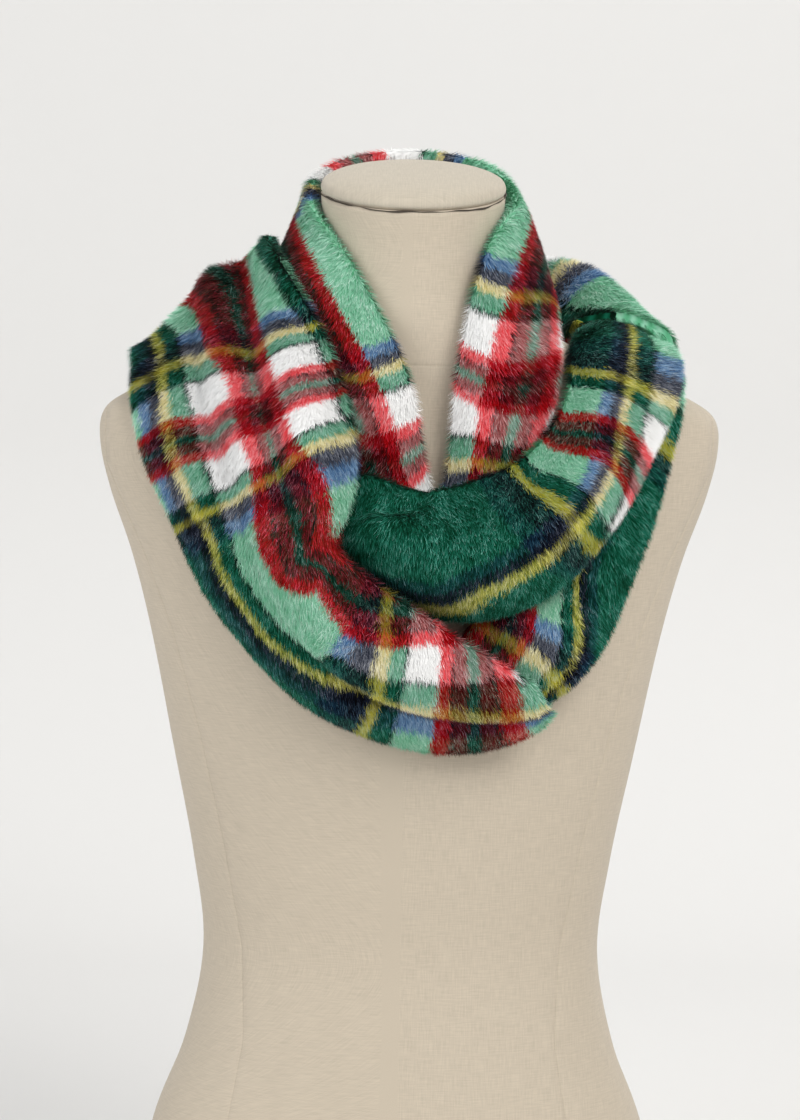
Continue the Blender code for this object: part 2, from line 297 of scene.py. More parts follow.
collar = dict(
    node="scarf_collar_turn",
    closed=True,
    grid=(44, 9),  # points along and across, as in the solid
    over=(),
    inner=[
        (-4, 84, 746), (43, 70, 740), (63, 34, 722), (54, -26, 702), (44, -50, 671), (35, -66, 632),
        (30, -80, 593), (28, -93, 552), (17, -98, 522), (6, -93, 554), (0, -82, 596),
        (-14, -68, 629), (-31, -54, 659), (-47, -36, 689), (-61, 0, 714), (-64, 34, 727),
        (-41, 68, 740),
    ],
    crest=[
        (0, 99, 722), (56, 86, 712), (75, 36, 698), (72, -22, 682), (65, -62, 645), (59, -85, 611),
        (51, -98, 573), (43, -106, 535), (18, -109, 503), (-9, -106, 536), (-20, -98, 578),
        (-35, -84, 609), (-52, -66, 641), (-66, -40, 673), (-73, 0, 696), (-73, 38, 694),
        (-54, 86, 712),
    ],
    outer=[
        (0, 97, 676), (62, 88, 662), (86, 38, 652), (86, -18, 654), (88, -45, 627), (86, -70, 595),
        (74, -90, 557), (58, -104, 522), (18, -108, 484), (-24, -102, 524), (-39, -90, 568),
        (-54, -74, 601), (-68, -56, 633), (-79, -32, 664), (-82, 4, 679), (-84, 42, 652),
        (-60, 88, 664),
    ],
    folds=[],
    creases=[],
    plaid=[
        (0.00, (-84, -84, -84), (80, 105, 134)),
        (0.05, (-42, -42, -38), (80, 105, 134)),
        (0.16, (11, 28, 49), (80, 105, 134)),
        (0.22, (42, 59, 82), (80, 105, 134)),
        (0.29, (84, 98, 125), (80, 105, 134)),
        (0.36, (145, 158, 171), (80, 105, 134)),
        (0.43, (179, 201, 220), (80, 105, 134)),
        (0.51, (313, 311, 297), (80, 105, 134)),
        (0.585, (374, 362, 349), (80, 105, 132)),
        (0.65, (416, 403, 383), (80, 105, 132)),
        (0.82, (500, 493, 490), (80, 105, 132)),
        (0.89, (542, 542, 542), (80, 105, 134)),
        (1.00, (603, 603, 603), (80, 105, 134)),
    ],
    nap=(0.0, 0.35),  # the way the pile leans, along and across
    wrap=3,  # repeats of the plaid in the whole ring
    strands=230000,
    innerPile=1.0,  # how dense the pile is on the hidden face
)

rightUnder = dict(
    node="scarf_right_under",
    closed=False,
    grid=(20, 10),
    over=(),
    inner=[
        (130, 38, 606), (130, 0, 612), (130, -52, 580), (110, -84, 536), (83, -102, 498),
        (57, -112, 474), (39, -113, 455), (33, -112, 436),
    ],
    crest=[
        (148, 38, 600), (146, -2, 607), (144, -58, 576), (130, -86, 536), (112, -108, 492),
        (93, -122, 463), (74, -124, 438), (56, -118, 419),
    ],
    outer=[
        (163, 34, 586), (161, -6, 598), (156, -54, 568), (150, -72, 531), (132, -90, 485),
        (119, -100, 452), (99, -107, 426), (75, -110, 411),
    ],
    folds=[(0.40, 0.35, 0.30, 1.0, -5, 0.15)],
    creases=[],
    plaid=[
        (0.00, (-122, -120, -118), (78, 60, 42, 24, 4)),
        (0.30, (-61, -60, -63), (78, 60, 42, 24, 4)),
        (0.38, (-42, -42, -46), (78, 60, 42, 24, 4)),
        (0.53, (-5, -5, -8), (78, 60, 42, 24, 4)),
        (0.59, (10, 9, 4), (88, 67, 48, 28, 6)),
        (0.65, (25, 24, 18), (104, 82, 58, 38, 14)),
        (0.72, (43, 41, 33), (120, 97, 73, 49, 28)),
        (0.77, (52, 50, 41), (130, 106, 82, 58, 36)),
        (0.82, (60, 57, 47), (132, 108, 86, 62, 40)),
        (0.88, (69, 66, 56), (132, 108, 86, 62, 40)),
        (1.00, (98, 94, 80), (132, 108, 86, 62, 40)),
    ],
    nap=(0.0, 0.3),
    strands=60000,
    innerPile=0.25,
)

rightOver = dict(
    node="scarf_right_over",
    closed=False,
    grid=(30, 14),
    over=(0, 1),
    inner=[
        (112, 36, 624), (108, -10, 634), (100, -48, 617), (90, -76, 586), (79, -96, 566),
        (61, -110, 551), (37, -120, 542), (16, -126, 537), (-5, -126, 539), (-24, -124, 547),
        (-42, -116, 542),
    ],
    crest=[
        (130, 38, 622), (130, -9, 639), (128, -62, 614), (119, -98, 580), (107, -124, 550),
        (86, -144, 526), (61, -156, 509), (32, -160, 503), (5, -156, 507), (-22, -142, 515),
        (-43, -126, 519),
    ],
    outer=[
        (148, 36, 612), (159, -4, 622), (160, -47, 598), (144, -84, 566), (132, -103, 540),
        (114, -121, 515), (91, -130, 489), (57, -133, 471), (18, -128, 469), (-15, -124, 480),
        (-41, -118, 497),
    ],
    folds=[(0.20, 0.16, 0.62, 1.0, -5, 0.07)],
    creases=[(0.0, 0.36, 0.70, 0.95, -5.0, 0.045)],
    plaid=[
        (0.00, (0, 0, 0), (2, 30, 52, 73, 92)),
        (0.14, (38, 38, 36), (2, 30, 52, 70, 84)),
        (0.21, (52, 53, 50), (2, 30, 52, 70, 83)),
        (0.235, (61, 63, 58), (2, 30, 52, 70, 82)),
        (0.28, (81, 90, 80), (2, 29, 51, 69, 80)),
        (0.33, (102, 116, 100), (0, 26, 48, 67, 78)),
        (0.40, (134, 146, 128), (-2, 22, 46, 65, 76)),
        (0.46, (156, 164, 150), (-2, 20, 45, 64, 75)),
        (0.50, (171, 174, 166), (-2, 20, 45, 63, 71)),
        (0.56, (180, 182, 178), (-4, 17, 43, 62, 67)),
        (0.62, (197, 197, 197), (-6, 15, 42, 62, 66)),
        (0.70, (216, 216, 216), (-10, 10, 36, 58, 66)),
        (0.77, (229, 229, 229), (-14, 4, 26, 47, 65)),
        (1.00, (262, 262, 262), (-24, -6, 14, 36, 58)),
    ],
    nap=(0.0, 0.5),
    strands=130000,
    innerPile=0.25,
)

backTurn = dict(
    node="scarf_back_turn",
    closed=False,
    grid=(26, 16),
    over=(0, 1, 2),
    inner=[
        (-100, 12, 640), (-90, 48, 672), (-66, 92, 684), (-34, 112, 684), (0, 118, 682),
        (42, 112, 684), (86, 72, 646), (100, 44, 634), (112, 18, 632),
    ],
    crest=[
        (-128, 12, 628), (-130, 54, 656), (-108, 112, 656), (-60, 146, 646), (0, 154, 642),
        (68, 140, 656), (111, 86, 674), (139, 54, 655), (150, 20, 630),
    ],
    outer=[
        (-160, 8, 600), (-166, 44, 592), (-130, 98, 564), (-68, 116, 540), (0, 120, 534),
        (76, 116, 546), (134, 104, 594), (160, 68, 592), (164, 22, 604),
    ],
    folds=[(0.62, 0.58, 0.15, 0.85, -8, 0.08), (0.80, 0.82, 0.20, 0.80, 6, 0.08)],
    creases=[],
    plaid=[
        (0.00, (390, 390, 390), (60, 86, 120)),
        (0.10, (345, 345, 345), (60, 86, 120)),
        (0.60, (116, 116, 116), (60, 86, 120)),
        (0.71, (84, 84, 84), (68, 89, 106)),
        (0.75, (60, 60, 60), (68, 88, 102)),
        (0.79, (50, 50, 50), (68, 87, 98)),
        (0.82, (42, 42, 42), (68, 87, 94)),
        (1.00, (-10, -10, -10), (62, 83, 92)),
    ],
    nap=(0.0, 0.4),
    strands=160000,
    innerPile=0.3,
)

leftSwath = dict(
    node="scarf_left_swath",
    closed=False,
    grid=(36, 22),
    over=(0, 1, 2, 3),
    inner=[
        (80, -136, 423), (56, -144, 436), (28, -150, 452), (1, -152, 471), (-26, -151, 488),
        (-46, -150, 507), (-38, -147, 531), (-34, -138, 563), (-41, -120, 593), (-53, -90, 625),
        (-66, -50, 655), (-74, -10, 676), (-80, 24, 686),
    ],
    crest=[
        (86, -134, 416), (62, -143, 414), (27, -152, 418), (-8, -156, 428), (-40, -160, 447),
        (-62, -160, 471), (-75, -160, 503), (-84, -151, 534), (-92, -134, 564), (-102, -104, 592),
        (-110, -62, 622), (-115, -14, 650), (-122, 34, 671),
    ],
    outer=[
        (90, -126, 411), (66, -117, 393), (22, -115, 385), (-27, -113, 396), (-66, -108, 417),
        (-95, -102, 446), (-116, -96, 472), (-132, -86, 500), (-145, -74, 528), (-160, -62, 555),
        (-165, -50, 580), (-168, -8, 602), (-168, 26, 608),
    ],
    folds=[
        (0.76, 0.70, 0.05, 0.90, -14, 0.08),
        (0.74, 0.72, 0.66, 1.20, -7, 0.08),
        (0.40, 0.36, 0.54, 1.10, -8, 0.08),
        (0.18, 0.22, 0.45, 1.00, 6, 0.11),
        (0.57, 0.57, 0.74, 1.25, 7, 0.09),
        (0.05, 0.58, 0.40, 0.64, -13, 0.13),
    ],
    creases=[],
    plaid=[
        (0.00, (81, 81, 81, 81, 81), (66, 66, 65, 62, 59, 55, 46, 38, 32)),
        (0.11, (103, 104, 104, 105, 106), (78, 72, 68, 65, 60, 55, 46, 38, 32)),
        (0.17, (122, 123, 124, 126, 128), (95, 84, 74, 67, 60.5, 56, 47, 39, 32)),
        (0.23, (149, 150, 152, 156, 160), (108, 96, 84, 72.5, 64, 57.5, 48, 40, 32)),
        (0.27, (161, 166, 170, 174, 177), (116, 105, 94, 80, 67, 58.5, 52, 42, 33)),
        (0.33, (182, 182, 181, 186, 191), (120, 112, 102, 88, 68, 64, 61, 48, 35)),
        (0.38, (202, 200, 199, 202, 206), (126, 115, 98, 90, 84, 78, 70, 50, 38)),
        (0.42, (218, 216, 214, 216, 219), (128, 116, 99, 90, 84, 79, 75, 54, 38)),
        (0.48, (243, 240, 238, 238, 239), (135, 130, 123, 113, 99, 87, 79, 54, 37)),
        (0.53, (264, 261, 258, 258, 257), (143, 133, 118, 111, 103, 91, 80, 55, 37)),
        (0.58, (277, 274, 272, 271, 270), (151, 139, 123, 112, 102, 89, 76, 52, 37)),
        (0.62, (288, 286, 285, 284, 284), (155, 145, 130, 114, 100, 86, 75, 55, 38)),
        (0.66, (311, 309, 307, 305, 303), (158, 150, 135, 115, 97, 83, 74.5, 58, 38)),
        (0.70, (345, 337, 328, 321, 318), (158, 149, 134, 118, 97, 84, 74.5, 58, 38)),
        (0.78, (401, 391, 379, 360, 356), (157, 149, 134, 120, 97, 84, 74.5, 57, 38)),
        (0.86, (440, 428, 413, 393, 397), (157, 147, 133, 121, 106, 90, 75, 58, 38)),
        # at the far end the inner edge is set on the dark green, as painted shade of the valley
        # beside the collar
        (0.94, (476, 459, 440, 417, 424), (161, 147, 134, 123, 110, 97, 78, 58, 38)),
        (1.00, (500, 483, 462, 440, 447), (162, 146, 134, 125, 115, 104, 92, 60, 38)),
    ],
    nap=(-0.2, 0.1),
    strands=230000,
    innerPile=0.3,
)
stretches = [collar, rightUnder, rightOver, backTurn, leftSwath]  # in the order they are laid


# The normal is along times across, which points away from the form.
def gridNormals(surface, closed):
    if closed:
        along = np.roll(surface, -1, axis=0) - np.roll(surface, 1, axis=0)
    else:
        along = np.gradient(surface, axis=0)
    across = np.gradient(surface, axis=1)
    normals = np.cross(along, across)
    return normals / np.linalg.norm(normals, axis=2, keepdims=True), along, across


def unit(vectors):
    return vectors / np.maximum(np.linalg.norm(vectors, axis=-1, keepdims=True), 1e-9)


# Each fold: height times the root of a half sine along it, times a bell across it.
def foldRelief(folds, along, across):
    s, t = np.meshgrid(along, across, indexing="ij")
    relief = np.zeros_like(s)
    for acrossStart, acrossEnd, begin, end, height, width in folds:
        share = np.clip((s - begin) / (end - begin), 0, 1)
        centre = acrossStart + (acrossEnd - acrossStart) * share
        relief += height * mm * np.sin(pi * share) ** 0.5 * np.exp(-(((t - centre) / width) ** 2))
    return relief


# Push points out of the form until the wall clears it by the rest gap.
def layOnForm(surface):
    points = surface.reshape(-1, 3).copy()
    for _ in range(wall["restSteps"]):
        depth, out = formDepth(points)
        points += out * np.clip(wall["thickness"] / 2 + wall["restGap"] - depth, 0, None)
    return points.reshape(surface.shape)


# Lift points off the nearest points of lower stretches, along those stretches' normals, until the
# way between the two middles is a wall and a gap.
def layOver(surface, below):
    points = surface.reshape(-1, 3).copy()
    spacing = wall["thickness"] + wall["layerGap"]
    for lower in below:
        normals = gridNormals(lower, False)[0].reshape(-1, 3)
        bed = lower.reshape(-1, 3)
        for _ in range(wall["layingSteps"]):
            away = points[:, None] - bed[None]
            nearest = np.argmin((away**2).sum(axis=2), axis=1)
            away = points - bed[nearest]
            height = (away * normals[nearest]).sum(axis=1)
            beside = np.linalg.norm(away - height[:, None] * normals[nearest], axis=1)
            needed = np.sqrt(np.clip(spacing**2 - beside**2, 0, None))
            lift = np.clip(needed - height, 0, spacing)
            lift[(beside > spacing) | (height < -2 * spacing)] = 0
            points += normals[nearest] * lift[:, None]
    return points.reshape(surface.shape)


# One step of the 1 2 1 mean, along and across.
def soften(surface, closed):
    before, after = np.roll(surface, 1, axis=0), np.roll(surface, -1, axis=0)
    if not closed:
        before[0], after[-1] = surface[0], surface[-1]
    even = (before + after + 2 * surface) / 4
    even[:, 1:-1] = (even[:, :-2] + even[:, 2:] + 2 * even[:, 1:-1]) / 4
    return even


# Across, each section is the parabola through inner edge, crest and outer edge; along, the sections
# are splined. Folds stand on its normals, then it is laid on what is beneath.
def middleSurface(piece, below):
    countAlong, countAcross = piece["grid"]
    closed = piece["closed"]
    columns = [np.array(piece[name], dtype=float) * mm for name in ("inner", "crest", "outer")]
    size = len(columns[0])
    share = np.arange(countAlong) / countAlong if closed else np.linspace(0, 1, countAlong)
    places = share * (size if closed else size - 1)
    inner, crest, outer = (splineRows(column, places, closed)[:, None] for column in columns)
    across = np.linspace(0, 1, countAcross)
    t = across[None, :, None]
    surface = (1 - t) * (1 - 2 * t) * inner + 4 * t * (1 - t) * crest + t * (2 * t - 1) * outer
    normals = gridNormals(surface, closed)[0]
    surface = surface + normals * foldRelief(piece["folds"], share, across)[:, :, None]
    for _ in range(2):
        surface = soften(layOnForm(layOver(surface, below)), closed)
    return layOnForm(layOver(surface, below))


# Spline a grid both ways. A closed one comes back without its first row repeated.
def refine(surface, closed, countAlong, countAcross):
    across = np.linspace(0, surface.shape[1] - 1, countAcross)
    fine = np.stack([splineRows(row, across) for row in surface])
    if closed:
        return splineRows(fine, np.arange(countAlong) / countAlong * len(fine), True)
    return splineRows(fine, np.linspace(0, len(fine) - 1, countAlong))


# The grid that the next stretches are laid on, as coarse as the solids have it.
def laidBed(surface, piece):
    countAlong, countAcross = piece["grid"]
    across = np.linspace(0, countAcross - 1, wall["laidDetail"] * countAcross)
    fine = np.stack([splineRows(row, across) for row in surface])
    bed = np.concatenate([fine, fine[:1]]) if piece["closed"] else fine
    return splineRows(bed, np.linspace(0, len(bed) - 1, wall["laidDetail"] * countAlong))


# Where each grid point lies in the cloth, in repeats: the rows of the plaid table are blended along
# by straight lines, and their even stations across by a spline.
def plaidPlaces(piece, along, across):
    shares = [row[0] for row in piece["plaid"]]
    places = []
    for way in (1, 2):
        stations = np.array([row[way] for row in piece["plaid"]], dtype=float)
        size = stations.shape[1]
        columns = np.stack([np.interp(along, shares, stations[:, k]) for k in range(size)])
        places.append(splineRows(columns, across * (size - 1)).T * mm / repeat)
    return np.stack(places, axis=2)


# The flat tube round its middle surface: outer face, rounded edge, inner face, rounded edge. Each
# edge is a half ellipse between the two faces. Returns the places, the outward normals, the along
# and across ways, the cloth places and the pile's density.
def tubeRing(piece, surface, along, across):
    normals, alongWay, acrossWay = gridNormals(surface, piece["closed"])
    alongWay, acrossWay = unit(alongWay), unit(acrossWay)
    count, width = surface.shape[:2]
    taper = np.ones((count, 1))
    if not piece["closed"]:
        ends = np.minimum(np.arange(count), np.arange(count)[::-1])
        share = np.clip(ends / wall["endRows"], 0, 1)
        taper[:, 0] = wall["endTaper"] + (1 - wall["endTaper"]) * share
    out, back = wall["clothOut"] * taper, wall["clothIn"] * taper
    cloth = plaidPlaces(piece, along, across)
    half = (out + back) / 2
    lift = (out - back) / 2
    angles = pi * np.arange(1, wall["edgeSteps"] + 1) / (wall["edgeSteps"] + 1)
    inside = np.arange(width - 1, -1, -2)
    if inside[-1] != 0:
        inside = np.append(inside, 0)
    columns = dict(place=[], normal=[], along=[], across=[], cloth=[], density=[])

    def add(place, normal, k, cloths, density):
        columns["place"].append(place)
        columns["normal"].append(normal)
        columns["along"].append(alongWay[:, k])
        columns["across"].append(acrossWay[:, k])
        columns["cloth"].append(cloths)
        columns["density"].append(np.full(count, density))

    for k in range(width):
        add(surface[:, k] + normals[:, k] * out, normals[:, k], k, cloth[:, k], 1.0)
    for k, side, turn in ((width - 1, 1, angles), (0, -1, angles[::-1])):
        if side < 0:
            for j in inside:
                edge = min(j, width - 1 - j) / (width - 1)
                density = 1.0 if edge < wall["fullPile"] else piece["innerPile"]
                add(surface[:, j] - normals[:, j] * back, -normals[:, j], j, cloth[:, j], density)
        for angle in turn:
            bow = side * sin(angle) * half
            level = lift + cos(angle) * half
            place = surface[:, k] + normals[:, k] * level + acrossWay[:, k] * bow
            normal = unit(normals[:, k] * cos(angle) + acrossWay[:, k] * side * sin(angle))
            step = (1 - cos(angle)) * wall["clothIn"] / repeat * side
            add(place, normal, k, cloth[:, k] + np.array([0, step]), 1.0)
    return {name: np.stack(parts, axis=1) for name, parts in columns.items()}


# Four-sided faces between neighbouring rows of closed rings of points.
def ringFaces(count, size, closed):
    rows = np.arange(count if closed else count - 1)[:, None]
    columns = np.arange(size)[None, :]
    nextRows, nextColumns = (rows + 1) % count, (columns + 1) % size
    corners = [
        rows * size + columns,
        rows * size + nextColumns,
        nextRows * size + nextColumns,
        nextRows * size + columns,
    ]
    return np.stack([corner.ravel() for corner in corners], axis=1)


# Fans that close the two open ends of a tube, each from a point at its middle.
def endFaces(ring, countAlong):
    size = ring.shape[1]
    middles = np.array([ring[0].mean(axis=0), ring[-1].mean(axis=0)])
    around = np.arange(size)
    after = (around + 1) % size
    base = countAlong * size
    last = (countAlong - 1) * size
    first = np.stack([np.full(size, base), after, around], axis=1)
    final = np.stack([np.full(size, base + 1), last + around, last + after], axis=1)
    return middles, np.concatenate([first, final])


# Plush material

plush = dict(
    # half a repeat from the middle of the broad green to the middle of the red: where each
    # stripe starts, in mm, its colour on dark stripes, how strongly it covers them, its colour
    # on white, and whether it is the white itself
    stripes=[
        (0, (0.008, 0.130, 0.076), 0.20, (0.300, 0.620, 0.445), 0),  # broad green
        (42, (0.006, 0.030, 0.060), 0.20, (0.170, 0.300, 0.480), 0),  # blue
        (49, (0.007, 0.010, 0.022), 1.00, (0.105, 0.115, 0.150), 0),  # navy
        (56, (0.640, 0.600, 0.110), 0.42, (0.780, 0.720, 0.430), 0),  # yellow
        (62, (0.006, 0.110, 0.062), 0.20, (0.230, 0.500, 0.360), 0),  # green
        (71.5, (0.006, 0.012, 0.010), 0.60, (0.050, 0.070, 0.065), 0),  # black edge
        (73, (0.970, 0.970, 0.965), 0.20, (0.970, 0.970, 0.965), 1),  # white
        (95, (0.470, 0.004, 0.010), 1.00, (0.870, 0.170, 0.190), 0),  # red
        (103, (0.010, 0.006, 0.008), 0.70, (0.160, 0.090, 0.090), 0),  # black line
        (104.5, (0.150, 0.004, 0.009), 0.80, (0.460, 0.170, 0.170), 0),  # dark red
        (111, (0.012, 0.050, 0.035), 0.50, (0.250, 0.400, 0.320), 0),  # green centre line
    ],
    half=114.5,
    waver=0.006,  # how far a stripe strays, in repeats
    waverScale=16,
    waverDetail=3,
    twillPitch=4.2 * mm,
    twillShare=0.26,  # how far a twill line shifts which colour covers the other
    twillDepth=0.40,  # and how far it shifts the power
    # the power at no tone, and its change with tone
    power=1.64,
    powerFall=-1.00,
    finish={
        "Roughness": 0.85,
        "Specular IOR Level": 0.06,
        "Sheen Weight": 0.05,
        "Sheen Roughness": 0.4,
    },
)


# A material with its shader's plain values set, and its nodes, links and shader.
def newMaterial(name, finish):
    material = bpy.data.materials.new(name)
    material.use_nodes = True
    nodes, links = material.node_tree.nodes, material.node_tree.links
    shader = nodes["Principled BSDF"]
    for socket, value in finish.items():
        shader.inputs[socket].default_value = value
    return material, nodes, links, shader


# The stripes in a ramp: one of their colours, with a share of 0 to 1 as its alpha.
def stripeRamp(nodes, colour, share):
    ramp = nodes.new("ShaderNodeValToRGB")
    band = ramp.color_ramp
    band.interpolation = "CONSTANT"
    while len(band.elements) > 1:
        band.elements.remove(band.elements[-1])
    for number, stripe in enumerate(plush["stripes"]):
        place = stripe[0] / plush["half"]
        element = band.elements.new(place) if number else band.elements[0]
        element.position = place
        element.color = (*stripe[colour], stripe[share])
    return ramp


# A Math node's result; a number is set on its socket, and a socket is linked to it.
def mathNode(nodes, links, operation, first, second=None, third=None):
    node = nodes.new("ShaderNodeMath")
    node.operation = operation
    for socket, value in zip(node.inputs, (first, second, third)):
        if value is None:
            continue
        if isinstance(value, (int, float)):
            socket.default_value = value
        else:
            links.new(value, socket)
    return node.outputs[0]


# The first colour goes over to the second as the share goes from 0 to 1.
def mixNode(nodes, links, share, first, second):
    node = nodes.new("ShaderNodeMix")
    node.data_type = "RGBA"
    links.new(share, node.inputs[0])
    links.new(first, node.inputs[6])
    links.new(second, node.inputs[7])
    return node.outputs[2]


# Warp and weft have the same stripes. Over white a stripe is pale, and of two coloured ones the
# stronger covers the other, more or less so along fine diagonal twill lines. The tone is a power on
# the colour, which makes roots deep as painted shade within the pile and tips pale as painted
# light.
def makePlush():
    material, nodes, links, shader = newMaterial("plaidPlush", plush["finish"])
    clothMap = nodes.new("ShaderNodeUVMap")
    clothMap.uv_map = "plaid"
    waver = nodes.new("ShaderNodeTexNoise")
    waver.inputs["Scale"].default_value = plush["waverScale"]
    waver.inputs["Detail"].default_value = plush["waverDetail"]
    links.new(clothMap.outputs["UV"], waver.inputs["Vector"])
    shift = nodes.new("ShaderNodeVectorMath")
    shift.operation = "MULTIPLY_ADD"
    links.new(waver.outputs["Color"], shift.inputs[0])
    shift.inputs[1].default_value = (2 * plush["waver"], 2 * plush["waver"], 0)
    links.new(clothMap.outputs["UV"], shift.inputs[2])
    parts = nodes.new("ShaderNodeSeparateXYZ")
    links.new(shift.outputs[0], parts.inputs[0])
    dark, pale = [], []
    for axis in ("X", "Y"):
        folded = mathNode(nodes, links, "PINGPONG", parts.outputs[axis], 0.5)
        doubled = mathNode(nodes, links, "MULTIPLY", folded, 2.0)
        for ramps, colour, share in ((dark, 1, 2), (pale, 3, 4)):
            ramps.append(stripeRamp(nodes, colour, share))
            links.new(doubled, ramps[-1].inputs[0])
    total = mathNode(nodes, links, "ADD", parts.outputs["X"], parts.outputs["Y"])
    turns = mathNode(nodes, links, "MULTIPLY", total, 2 * pi * repeat / plush["twillPitch"])
    wave = mathNode(nodes, links, "SINE", turns)
    strengths = mathNode(nodes, links, "ADD", dark[0].outputs["Alpha"], dark[1].outputs["Alpha"])
    cover = mathNode(nodes, links, "DIVIDE", dark[0].outputs["Alpha"], strengths)
    cover = mathNode(nodes, links, "MULTIPLY_ADD", wave, plush["twillShare"], cover)
    crossing = mixNode(nodes, links, cover, dark[1].outputs["Color"], dark[0].outputs["Color"])
    crossing = mixNode(nodes, links, pale[1].outputs["Alpha"], crossing, pale[0].outputs["Color"])
    crossing = mixNode(nodes, links, pale[0].outputs["Alpha"], crossing, pale[1].outputs["Color"])
    # the tone darkens or pales the colour: random changes, painted shade at roots and cloth,
    # painted light at tips
    toneAndShade = nodes.new("ShaderNodeAttribute")
    toneAndShade.attribute_name = "toneAndShade"
    fac = toneAndShade.outputs["Fac"]
    power = mathNode(nodes, links, "MULTIPLY_ADD", fac, plush["powerFall"], plush["power"])
    power = mathNode(nodes, links, "MULTIPLY_ADD", wave, plush["twillDepth"], power)
    deepen = nodes.new("ShaderNodeGamma")
    links.new(crossing, deepen.inputs["Color"])
    links.new(power, deepen.inputs["Gamma"])
    links.new(deepen.outputs[0], shader.inputs["Base Color"])
    return material


plushMaterial = makePlush()


# Pile

pile = dict(
    length=(5.0 * mm, 7.5 * mm),
    width=0.62 * mm,
    rise=0.40,  # how steeply a strand stands
    riseSpread=0.14,
    tuft=(2.4 * mm, 4.2 * mm),  # strands in a patch of the cloth this large lean alike
    tuftNumber=(157.0, 3.7),  # turn a patch's column and row into its own number
    tuftSpread=0.22,
    strandSpread=0.20,
    droop=0.9,  # how far the pile is brushed down
    softNormal=0.80,  # share of the cloth's own normal in a strand's shading
    jitter=0.9 * mm,  # how far a strand's colour strays at a stripe's edge
    perPiece=190000,  # strands at most
    waves=7,  # in the smooth noise, and the spread of their lengths
    waveSpread=(0.6, 1.5),
    swirlSize=0.06,
    swirl=0.30,  # how far broad swirls turn the nap
    endLean=1.2,  # how much the strands at an open end lean out over it
    leanRows=3,
    twist=0.30,
    widthSpread=(0.7, 1.25),
    riseLimits=(0.12, 0.9),
    # a strand's shade: its middle, and how much its tuft, its own chance and broad patches do
    shade=(0.5, 0.30, 0.65, 0.12),
    patchSize=0.02,
    # the roots darker as painted shade deep in the pile, the tip paler as painted light on the tips
    rootShadeTipLight=(0.55, 0.55, 1.30),  # both root corners and the tip
    toneLimit=1.1,
    # the cloth under the strands is darkened as painted shade deep in the pile
    clothPaintedShade=0.22,  # of the cloth under the strands
    bakeCorners=[[0.12, 0.08], [0.88, 0.08], [0.5, 0.92]],
    quickShare=4,
)


# A steady number from 0 to 1 for each value: the fraction of a large sine.
def hashed(values, seed):
    return np.mod(np.sin(values * 12.9898 + seed * 78.233) * 43758.5453, 1.0)


# Smooth noise: a sum of sine waves in random directions, about as long as size.
def softNoise(points, size, seed):
    rng = np.random.default_rng(seed)
    count = pile["waves"]
    waves = rng.normal(size=(count, 3))
    steps = 2 * pi / size / np.linalg.norm(waves, axis=1) * rng.uniform(*pile["waveSpread"], count)
    waves *= steps[:, None]
    return np.sin(points @ waves.T + rng.uniform(0, 2 * pi, count)).sum(axis=1) / count**0.5


